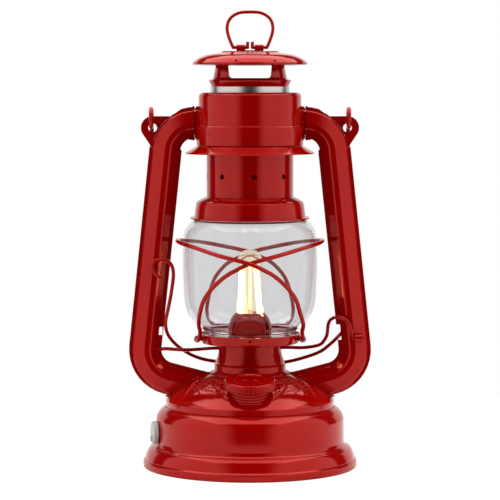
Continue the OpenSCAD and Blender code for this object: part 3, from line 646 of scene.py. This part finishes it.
def band_faces(first: int, bands: int, sides: int) -> list[Face]:
    """Joins closed rings of points into bands of four-sided faces.

    Args:
        first: The first ring's first point.
        bands: How many bands there are, one fewer than the rings.
        sides: How many points a ring has.

    Returns:
        The faces, by point number.
    """
    faces: list[Face] = []
    for i in range(bands):
        ring = first + i * sides
        for k in range(sides):
            a, b = ring + k, ring + (k + 1) % sides
            faces.append((a, b, b + sides, a + sides))
    return faces


def polish(*nodes: str, crease: float = 32.0) -> None:
    """Shades CAD nodes smoothly wherever their faces meet at less than the crease angle.

    Args:
        nodes: The CAD nodes' names.
        crease: The largest angle that is smoothed, in degrees.
    """
    for node in nodes:
        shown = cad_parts[node]
        shown.modifiers.new("weld", "WELD").merge_threshold = WELD_GAP
        split = shown.modifiers.new("split", "EDGE_SPLIT")
        split.split_angle = math.radians(crease)
        split.use_edge_sharp = False
        even = shown.modifiers.new("even", "WEIGHTED_NORMAL")
        even.mode = "FACE_AREA_WITH_ANGLE"


def dress(nodes: Iterable[str], material: bpy.types.Material) -> None:
    """Gives CAD nodes a finish in place of their packed one.

    Args:
        nodes: The nodes' names.
        material: The finish.
    """
    for node in nodes:
        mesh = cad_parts[node].data
        mesh.materials.clear()
        mesh.materials.append(material)
        LOG.info("node %s wears %s", node, material.name)


@dataclass(frozen=True)
class Stroke:
    """One raised stroke of a relief: its middle, its heading, its length, width and height.

    Its middle is in X and Y, or in X and Z where it is laid from the front.
    """

    x: float
    y: float
    turn: float
    length: float
    width: float
    rise: float


@dataclass
class Relief:
    """Raised strokes pressed into a sheet, laid on a CAD node's own surface.

    They are laid from above, or from the front. Their edge is buried by sink, so that no gap
    shows, and a lower roundness makes a stroke flatter on top.
    """

    node: str
    body: Body
    from_front: bool = False
    margin: float = 10 * MM
    sink: float = 0.06 * MM
    roundness: float = 0.6
    along: int = 9
    across: int = 6

    def lay(self, surface: BVHTree, low: Vector, high: Vector, stroke: Stroke) -> list[Vector]:
        """Lays one stroke on the surface.

        Args:
            surface: The node's surface.
            low: The lowest corner of the node's box.
            high: Its highest corner.
            stroke: The stroke.

        Returns:
            The stroke's points, row by row along it.
        """
        ray = Vector((0, 1, 0)) if self.from_front else Vector((0, 0, -1))
        cos, sin = math.cos(stroke.turn), math.sin(stroke.turn)
        points: list[Vector] = []
        for i in range(self.along + 1):
            u = 2 * i / self.along - 1
            taper = math.sqrt(max(0.0, 1 - u * u))
            for j in range(self.across + 1):
                v = (2 * j / self.across - 1) * taper
                du, dv = u * stroke.length / 2, v * stroke.width / 2
                a, b = stroke.x + du * cos - dv * sin, stroke.y + du * sin + dv * cos
                start = Vector((a, low.y, b) if self.from_front else (a, b, high.z))
                point, normal, _, _ = surface.ray_cast(start - self.margin * ray, ray)
                swell = max(0.0, (1 - u * u) * (1 - (v / taper) ** 2)) if taper > 0 else 0.0
                points.append(point + normal * (stroke.rise * swell**self.roundness - self.sink))
        return points

    def build(
        self, name: str, strokes: Sequence[Stroke], material: bpy.types.Material
    ) -> bpy.types.Object:
        """Lays the strokes on the node and makes them one piece.

        Args:
            name: The piece's name.
            strokes: The strokes.
            material: Their finish.

        Returns:
            The new object.
        """
        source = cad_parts[self.node]
        surface = BVHTree.FromObject(source, bpy.context.evaluated_depsgraph_get())
        low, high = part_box(self.node)
        verts: list[Vector] = []
        faces: list[Face] = []
        for stroke in strokes:
            faces += grid_faces(len(verts), self.along, self.across)
            verts += self.lay(surface, low, high, stroke)
        mesh = mesh_from(name, verts, faces)
        return finish_object(name, mesh, self.body, material)


# ---- sub-assemblies ----


@dataclass(frozen=True)
class Shared:
    """The finishes that more than one sub-assembly wears."""

    enamel: bpy.types.Material
    steel: bpy.types.Material
    black: bpy.types.Material

    @staticmethod
    def mixed() -> "Shared":
        """Builds the shared finishes.

        Returns:
            The finishes.
        """
        steel = Metal("bright_steel_turned", smooth=0.16, rough=0.3)
        black = Moulded("black_plastic_moulded", (0.014, 0.014, 0.015), (0.024, 0.024, 0.025))
        return Shared(Enamel("red_enamel_fired").material(), steel.material(), black.material())


@dataclass
class Tank:
    """The drum with its foot, the dome, the port cover and what the drum holds.

    Each spray of leaves fills a fan of rows round the axis. Angles are in degrees from the
    front, and the leaves' slants are shuffled by a fixed step per leaf and per row.
    """

    rubber: Moulded = Moulded("grey_rubber", (0.46, 0.46, 0.47), (0.54, 0.54, 0.55))
    wrap: Moulded = Moulded("cell_wrap", (0.02, 0.09, 0.26), (0.03, 0.12, 0.32), 0.15, 0.3)
    board: Moulded = Moulded("circuit_board", (0.01, 0.09, 0.035), (0.016, 0.13, 0.05), 0.3, 0.5)
    row_inner: float = 29.6 * MM
    row_gap: float = 2.6 * MM
    row_count: int = 5
    fan: tuple[float, float] = (27.0, 68.0)
    leaf_pitch: float = 2.7 * MM
    leaf_size: tuple[float, float, float] = (2.9 * MM, 0.95 * MM, 0.56 * MM)
    slants: tuple[float, ...] = (38.0, -52.0, 12.0, -24.0, 64.0, -8.0, 48.0)
    leaf_step: int = 3
    row_step: int = 2

    def row(self, side: int, number: int) -> list[Stroke]:
        """Spreads one row of leaves over its fan, each second row half a leaf on.

        Args:
            side: -1 for the left spray, 1 for the right one.
            number: The row's number from the inside.

        Returns:
            The leaves as strokes.
        """
        radius = self.row_inner + number * self.row_gap
        first, last = (math.radians(angle) for angle in self.fan)
        count = round((last - first) * radius / self.leaf_pitch)
        leaves: list[Stroke] = []
        for i in range(count):
            share = (i + (number % 2) / 2) / count
            angle = side * (first + share * (last - first))
            shuffled = (i * self.leaf_step + number * self.row_step) % len(self.slants)
            turn = angle + side * math.radians(self.slants[shuffled])
            x, y = radius * math.sin(angle), -radius * math.cos(angle)
            leaves.append(Stroke(x, y, turn, *self.leaf_size))
        return leaves

    def build(self, shared: Shared) -> None:
        """Dresses the tank's nodes and lays a generic spray each side of the filler cap.

        Args:
            shared: The shared finishes.
        """
        dress(("base_shell", "bottom_plate", "tank_dome"), shared.enamel)
        polish("base_shell", "tank_dome")
        dress(("port_cover",), self.rubber.material())
        polish("port_cover", crease=40.0)
        dress(("battery_tray",), shared.black)
        dress(("battery_cells",), self.wrap.material())
        dress(("driver_board", "charge_board"), self.board.material())
        dress(("bottom_screws", "charge_port"), shared.steel)
        rows = [self.row(side, number) for side in (-1, 1) for number in range(self.row_count)]
        leaves = [leaf for row in rows for leaf in row]
        Relief("tank_dome", Body.FRAME).build("dome_leaves", leaves, shared.enamel)


@dataclass
class Dimmer:
    """The knurled cap that dims the lamp, on its threaded neck.

    A ring of dashes and two pairs of marks are pressed into its top, whose middle lies a
    little in front of the cap's own because the cap leans forward.
    """

    lean: float = -0.487 * MM
    ring_radius: float = 9.4 * MM
    dash_count: int = 18
    dash_size: tuple[float, float, float] = (2.4 * MM, 0.9 * MM, 0.32 * MM)
    mark_reach: float = 3.2 * MM
    mark_slant: float = 0.45
    mark_size: tuple[float, float, float] = (4 * MM, 1 * MM, 0.3 * MM)

    def strokes(self) -> list[Stroke]:
        """Lists the dashes and the marks.

        Returns:
            The strokes.
        """
        low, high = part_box("filler_cap")
        middle = (low.y + high.y) / 2 + self.lean
        strokes: list[Stroke] = []
        for i in range(self.dash_count):
            angle = 2 * math.pi * i / self.dash_count
            x, y = self.ring_radius * math.cos(angle), self.ring_radius * math.sin(angle)
            strokes.append(Stroke(x, middle + y, angle + math.pi / 2, *self.dash_size))
        for slant in (self.mark_slant, -self.mark_slant):
            for side in (-1, 1):
                strokes.append(
                    Stroke(side * self.mark_reach, middle, side * slant, *self.mark_size)
                )
        return strokes

    def build(self, shared: Shared) -> None:
        """Dresses the dimmer and presses the strokes into its top.

        Args:
            shared: The shared finishes.
        """
        dress(("filler_cap", "filler_neck"), shared.enamel)
        polish("filler_neck", crease=20.0)
        polish("filler_cap", crease=12.0)
        dress(("dimmer_switch",), shared.black)
        dress(("dimmer_shaft",), shared.steel)
        Relief("filler_cap", Body.DIMMER).build("cap_dashes", self.strokes(), shared.enamel)


@dataclass
class Burner:
    """The neck, the cone and the filament bulb.

    Pairs are for the left and the right filament: the places of its top and foot, their half
    widths, and for both the half depth.
    """

    # Both glasses carry a painted glow for the filaments' light shining in them, strongest in the
    # stem.
    clear: Glass = Glass("bulb_glass", (1.0, 0.96, 0.88), wave_scale=120.0, lit=0.05)
    stem: Glass = Glass("stem_glass", (1.0, 0.94, 0.80), wave_scale=120.0, ior=1.46, lit=0.28)
    ceramic: Moulded = Moulded("white_ceramic", (0.74, 0.72, 0.67), (0.8, 0.78, 0.74), 0.12, 0.25)
    wire: Metal = Metal("filament_wire", smooth=0.1, rough=0.25)
    lead: Moulded = Moulded("lead_insulation", (0.22, 0.012, 0.012), (0.3, 0.02, 0.02))
    tops: tuple[float, float] = (-5.0 * MM, 3.8 * MM)
    feet: tuple[float, float] = (-4.5 * MM, 6.3 * MM)
    top_halves: tuple[float, float] = (1.6 * MM, 1.45 * MM)
    foot_halves: tuple[float, float] = (3.3 * MM, 1.75 * MM)
    depth: float = 1.5 * MM
    past_foot: float = 0.5 * MM
    past_top: float = 1.0 * MM
    blunt: float = 0.02
    rings: int = 28
    sides: int = 24

    def sleeve(self, side: int) -> tuple[list[Vector], list[Face]]:
        """Builds one filament's phosphor sleeve, rounded at both ends.

        Args:
            side: 0 for the left one, 1 for the right one.

        Returns:
            Its points and faces.
        """
        low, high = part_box("bulb_filaments")
        foot, top = low.z - self.past_foot, high.z + self.past_top
        verts: list[Vector] = []
        for i in range(self.rings + 1):
            share = i / self.rings
            cap = min(1.0, min(share, 1 - share) * (top - foot) / self.depth)
            swell = math.sqrt(max(self.blunt, 1 - (1 - cap) ** 2))
            wide = self.foot_halves[side] + share * (self.top_halves[side] - self.foot_halves[side])
            x = self.feet[side] + share * (self.tops[side] - self.feet[side])
            middle = Vector((x, 0, foot + share * (top - foot)))
            for k in range(self.sides):
                angle = 2 * math.pi * k / self.sides
                turn = Vector((wide * math.cos(angle), self.depth * math.sin(angle), 0))
                verts.append(middle + swell * turn)
        faces = band_faces(0, self.rings, self.sides)
        faces.append(tuple(range(self.sides)))
        last = self.rings * self.sides
        faces.append(tuple(range(last, last + self.sides)))
        return verts, faces

    def light(self) -> None:
        """Puts both glowing sleeves in place of the plain filaments."""
        low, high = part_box("bulb_filaments")
        verts: list[Vector] = []
        faces: list[Face] = []
        for side in (0, 1):
            points, sides = self.sleeve(side)
            faces += [tuple(len(verts) + i for i in face) for face in sides]
            verts += points
        glow = Glow("phosphor", low.z, high.z).material()
        mesh = mesh_from("filament_sleeves", verts, faces)
        made = finish_object("filament_sleeves", mesh, Body.FRAME, glow)
        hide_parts("bulb_filaments")

    def build(self, shared: Shared) -> None:
        """Dresses the burner and lights the bulb.

        Args:
            shared: The shared finishes.
        """
        dress(("burner_neck", "burner_cone"), shared.enamel)
        polish("burner_neck", "burner_cone")
        dress(("bulb_envelope",), self.clear.material())
        dress(("bulb_stem",), self.stem.material())
        polish("bulb_envelope", "bulb_stem", crease=50.0)
        dress(("bulb_holder",), self.ceramic.material())
        dress(("filament_wires",), self.wire.material())
        dress(("bulb_lead",), self.lead.material())
        self.light()


@dataclass
class Globe:
    """The globe with its plate and wire guard."""

    glass: Glass = Glass("globe_glass")

    def build(self, shared: Shared) -> None:
        """Dresses the globe, its plate and its guard.

        Args:
            shared: The shared finishes.
        """
        dress(("globe_plate", "globe_guard"), shared.enamel)
        polish("globe_plate")
        polish("globe_guard", crease=60.0)
        dress(("globe",), self.glass.material())
        polish("globe", crease=40.0)


@dataclass
class Hood:
    """The bell, the chimney, the gallery, the cap with its pressed rays and the lifting ring."""

    tin: Metal = Metal("tinned_steel", (0.55, 0.52, 0.50), (0.66, 0.62, 0.60), 0.26, 0.36)
    ray_radius: float = 15.9 * MM
    ray_count: int = 36
    ray_slant: float = 24.0
    ray_size: tuple[float, float, float] = (3.4 * MM, 1.0 * MM, 0.55 * MM)

    def rays(self) -> list[Stroke]:
        """Lists the rays round the cap, slanted in turn to each side.

        Returns:
            The rays as strokes.
        """
        rays: list[Stroke] = []
        for i in range(self.ray_count):
            angle = 2 * math.pi * (i + 0.5) / self.ray_count
            x, y = self.ray_radius * math.cos(angle), self.ray_radius * math.sin(angle)
            slant = math.radians(self.ray_slant if i % 2 else -self.ray_slant)
            rays.append(Stroke(x, y, angle + slant, *self.ray_size))
        return rays

    def build(self, shared: Shared) -> None:
        """Dresses the hood and presses the rays into its cap.

        Args:
            shared: The shared finishes.
        """
        turned = ("chimney_bell", "chimney_tube", "hood_gallery", "hood_cap")
        dress((*turned, "ring_clip", "hood_ring"), shared.enamel)
        polish(*turned)
        polish("hood_ring", crease=60.0)
        dress(("flue_tube",), self.tin.material())
        Relief("hood_cap", Body.HOOD).build("cap_rays", self.rays(), shared.enamel)


@dataclass
class Frame:
    """The collar, the two side tubes with their ears, and the bail and levers.

    Two small dimples are pressed out of the collar's front, at one height above its foot.
    """

    dents_x: tuple[float, float] = (-24.6 * MM, 22.7 * MM)
    dent_lift: float = 7.3 * MM
    dent_size: tuple[float, float, float] = (1.7 * MM, 1.7 * MM, 0.4 * MM)

    def build(self, shared: Shared) -> None:
        """Dresses the frame and its wires.

        Args:
            shared: The shared finishes.
        """
        arms = ("left_arm", "right_arm")
        wires = ("bail", "lift_lever", "lift_crank")
        pressed = ("collar", "deflector_skirt", "left_ear", "right_ear", "crank_bracket")
        dress((*pressed, *arms, *wires), shared.enamel)
        polish("collar", crease=26.0)
        polish("deflector_skirt")
        polish(*arms, crease=16.0)
        polish(*wires, crease=60.0)
        dress(("hood_spring", "lever_pin"), shared.steel)
        low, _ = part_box("collar")
        dents = [Stroke(x, low.z + self.dent_lift, 0.0, *self.dent_size) for x in self.dents_x]
        Relief("collar", Body.FRAME, from_front=True).build("collar_dents", dents, shared.enamel)


# ---- studio ----


@dataclass(frozen=True)
class Softbox:
    """A large soft light: its azimuth from the front, height, reach, width and radiance."""

    name: str
    azimuth: float
    elevation: float
    distance: float
    width: float
    height: float
    radiance: float
    aim_z: float = 0.14

    def build(self) -> None:
        """Hangs the light, facing the lantern and unseen by the camera."""
        lamp = bpy.data.lights.new(self.name, "AREA")
        lamp.shape = "RECTANGLE"
        lamp.size, lamp.size_y = self.width, self.height
        lamp.energy = self.radiance * math.pi * self.width * self.height
        made = bpy.data.objects.new(self.name, lamp)
        bpy.context.scene.collection.objects.link(made)
        a, e = math.radians(self.azimuth), math.radians(self.elevation)
        away = Vector((math.sin(a) * math.cos(e), -math.cos(a) * math.cos(e), math.sin(e)))
        made.location = away * self.distance + Vector((0, 0, self.aim_z))
        made.rotation_euler = away.to_track_quat("Z", "Y").to_euler()
        made.visible_camera = False


@dataclass
class Studio:
    """The floor, the lights, the white background and the camera.

    Each band of the world gives the direction's part where its light is none and where it is
    full: back, back and low, to the sides, and in front.
    """

    top_light: Softbox = Softbox(
        "softbox_top",
        azimuth=180.0,
        elevation=82.0,
        distance=1.12,
        width=1.8,
        height=1.9,
        radiance=2.3,
    )
    floor_radius: float = 0.30
    floor_back: float = 0.077
    floor_drop: float = 0.2 * MM
    floor_rings: int = 12
    floor_sides: int = 96
    floor_white: float = 1.12
    floor_shine: float = 0.86
    floor_paper: Shade = (0.9, 0.9, 0.9, 1.0)
    eye: tuple[float, float, float] = (0.0, -1.448, 0.238)
    aim: tuple[float, float, float] = (0.0, 0.0, 0.1324)
    lens: float = 171.4
    clip: tuple[float, float] = (0.05, 20.0)
    gloom: float = 0.03
    side_light: float = 1.25
    through_glass: float = 0.80
    behind_band: tuple[float, float] = (0.62, 0.70)
    low_band: tuple[float, float] = (0.40, 0.30)
    side_band: tuple[float, float] = (0.24, 0.60)
    front_band: tuple[float, float] = (0.38, 0.30)

    def floor_mesh(self) -> bpy.types.Mesh:
        """Builds a round flat sheet of rings.

        Returns:
            The mesh.
        """
        verts = [Vector((0, 0, 0))]
        for i in range(1, self.floor_rings + 1):
            radius = self.floor_radius * i / self.floor_rings
            for k in range(self.floor_sides):
                angle = 2 * math.pi * k / self.floor_sides
                verts.append(Vector((radius * math.cos(angle), radius * math.sin(angle), 0)))
        sides = self.floor_sides
        fan: list[Face] = [(0, 1 + k, 1 + (k + 1) % sides) for k in range(sides)]
        bands = [face[::-1] for face in band_faces(1, self.floor_rings - 1, sides)]
        return mesh_from("floor", verts, fan + bands)

    def floor(self) -> None:
        """Lays a round pale floor that keeps the lantern's shadow."""
        mesh = self.floor_mesh()
        made = bpy.data.objects.new("floor", mesh)
        bpy.context.scene.collection.objects.link(made)
        made.location = (0, self.floor_back, -self.floor_drop)
        material = bpy.data.materials.new("pale_floor")
        material.use_nodes = True
        tree = material.node_tree
        tree.nodes.clear()
        paper = add(tree, "ShaderNodeBsdfDiffuse", Color=self.floor_paper)
        white = add(tree, "ShaderNodeEmission", Color=WHITE)
        path = tree.nodes.new("ShaderNodeLightPath")
        tree.links.new(self.backdrop(tree, path, self.floor_white), white.inputs["Strength"])
        share = math_node(tree, "MULTIPLY", seen_directly(tree, path), self.floor_shine)
        out = tree.nodes.new("ShaderNodeOutputMaterial")
        tree.links.new(mix_shaders(tree, share, paper, white), out.inputs[0])
        mesh.materials.append(material)

    def backdrop(
        self, tree: bpy.types.NodeTree, path: bpy.types.Node, strength: float
    ) -> bpy.types.NodeSocket:
        """Gives the backdrop's strength, a little less where it is seen through glass.

        Args:
            tree: The node tree.
            path: The tree's Light Path node.
            strength: The strength that the camera sees.

        Returns:
            The strength's socket.
        """
        through = strength * self.through_glass
        camera = path.outputs["Is Camera Ray"]
        return math_node(tree, "MULTIPLY_ADD", camera, strength - through, through)

    @staticmethod
    def step(
        tree: bpy.types.NodeTree, value: bpy.types.NodeSocket, band: tuple[float, float]
    ) -> bpy.types.NodeSocket:
        """Turns a value into a smooth step.

        Args:
            tree: The node tree.
            value: The value.
            band: Where the step is 0 and where it is 1.

        Returns:
            The step's socket.
        """
        none, full = band
        ends = (0.0, 1.0) if full > none else (1.0, 0.0)
        limits = (min(band), max(band), *ends)
        made = add(tree, "ShaderNodeMapRange", interpolation_type="SMOOTHSTEP")
        for label, number in zip(("From Min", "From Max", "To Min", "To Max"), limits):
            made.inputs[label].default_value = number
        tree.links.new(value, made.inputs["Value"])
        return made.outputs[0]

    def room(self, tree: bpy.types.NodeTree) -> bpy.types.NodeSocket:
        """Builds the room's brightness by direction: white low behind and at both sides in front.

        Args:
            tree: The world's node tree.

        Returns:
            The brightness's socket.
        """
        split = tree.nodes.new("ShaderNodeSeparateXYZ")
        tree.links.new(tree.nodes.new("ShaderNodeTexCoord").outputs["Generated"], split.inputs[0])
        across, back, up = split.outputs
        behind = self.step(tree, back, self.behind_band)
        low = self.step(tree, up, self.low_band)
        aside = self.step(tree, math_node(tree, "ABSOLUTE", across), self.side_band)
        front = self.step(tree, back, self.front_band)
        low_glow = math_node(tree, "MULTIPLY", behind, low)
        side_glow = math_node(tree, "MULTIPLY", aside, front)
        side_glow = math_node(tree, "MULTIPLY", side_glow, self.side_light)
        glow = math_node(tree, "MAXIMUM", low_glow, side_glow)
        return math_node(tree, "MULTIPLY_ADD", glow, 1.0 - self.gloom, self.gloom)

    def world(self) -> None:
        """Sets a white background for the camera, and the room for everything else."""
        world = bpy.data.worlds.new("studio")
        bpy.context.scene.world = world
        world.use_nodes = True
        tree = world.node_tree
        tree.nodes.clear()
        path = tree.nodes.new("ShaderNodeLightPath")
        studio = add(tree, "ShaderNodeBackground", Strength=1.0)
        white = add(tree, "ShaderNodeBackground", Color=WHITE)
        tree.links.new(self.backdrop(tree, path, 1.0), white.inputs["Strength"])
        tree.links.new(self.room(tree), studio.inputs["Color"])
        out = tree.nodes.new("ShaderNodeOutputWorld")
        mixed = mix_shaders(tree, seen_directly(tree, path), studio, white)
        tree.links.new(mixed, out.inputs[0])

    def camera(self) -> None:
        """Places the camera at eye height in front of the lantern."""
        lens = bpy.data.cameras.new("camera")
        lens.lens = self.lens
        lens.clip_start, lens.clip_end = self.clip
        made = bpy.data.objects.new("camera", lens)
        bpy.context.scene.collection.objects.link(made)
        made.location = self.eye
        ahead = Vector(self.aim) - Vector(self.eye)
        made.rotation_euler = ahead.to_track_quat("-Z", "Y").to_euler()
        bpy.context.scene.camera = made

    def build(self) -> None:
        """Sets the whole studio."""
        self.floor()
        self.world()
        self.camera()
        self.top_light.build()
        bpy.context.scene.view_settings.view_transform = "Standard"


def main() -> None:
    """Builds the classes in order."""
    logging.basicConfig(level=logging.INFO, format="%(name)s: %(message)s")
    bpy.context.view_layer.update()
    shared = Shared.mixed()
    for part in (Tank(), Dimmer(), Burner(), Globe(), Hood(), Frame()):
        LOG.info("sub-assembly %s", type(part).__name__)
        part.build(shared)
    Studio().build()


if __name__ == "__main__":
    main()
